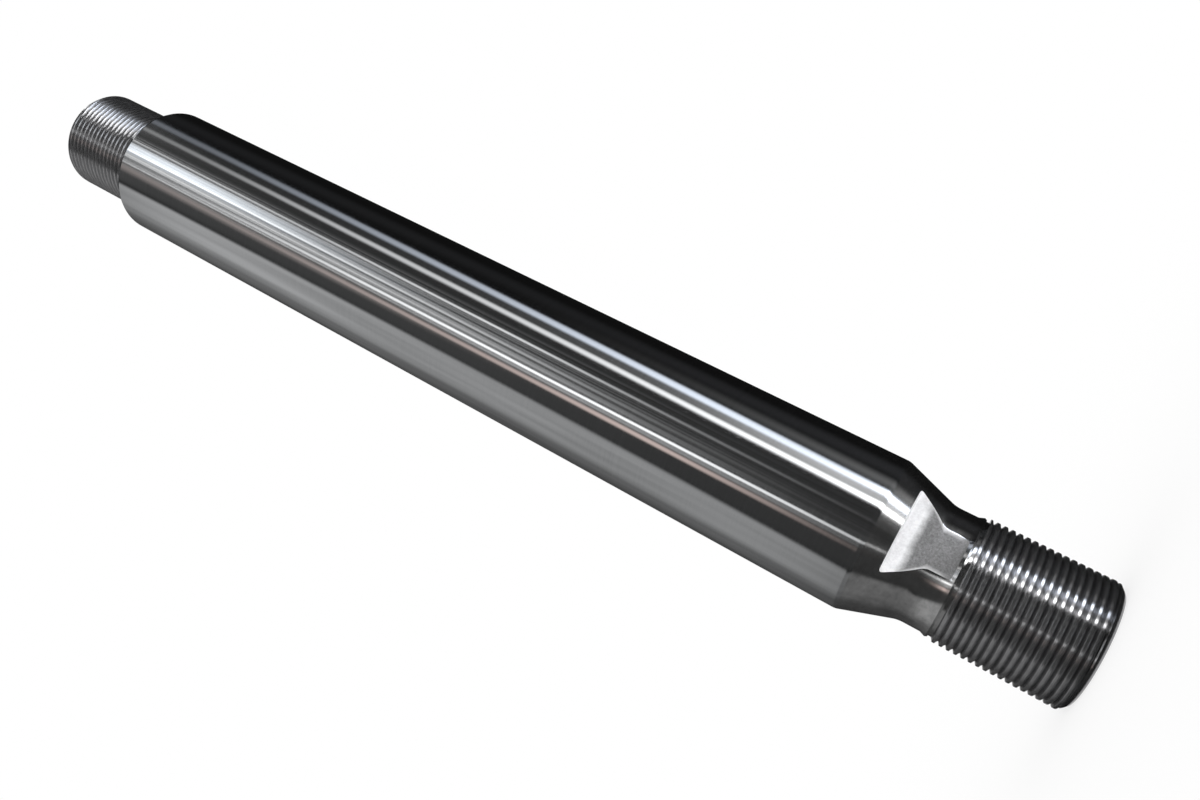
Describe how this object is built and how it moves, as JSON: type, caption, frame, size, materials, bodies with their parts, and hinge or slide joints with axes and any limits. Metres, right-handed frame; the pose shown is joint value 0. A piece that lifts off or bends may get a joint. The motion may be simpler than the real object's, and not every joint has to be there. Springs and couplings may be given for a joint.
{
  "type": "cylinder rod",
  "caption": "Hydraulic cylinder rod: chromed round bar with a threaded spigot for the piston, a tapered neck with wrench flats and a larger thread for the rod eye.",
  "frame": {"origin": "centre of the end face of the rod-eye thread, on which the rod stands", "axes": "+Z along the rod's axis, up to the piston thread; the wrench flats face -Y and +Y"},
  "size_m": [0.045, 0.045, 0.375],
  "materials": {
    "chromed_steel": "mirror-ground hard chrome on the body, bare turned steel on the neck and threads, milled wrench flats"
  },
  "bodies": {
    "root": {"rod": "chromed_steel"}
  },
  "joints": []
}
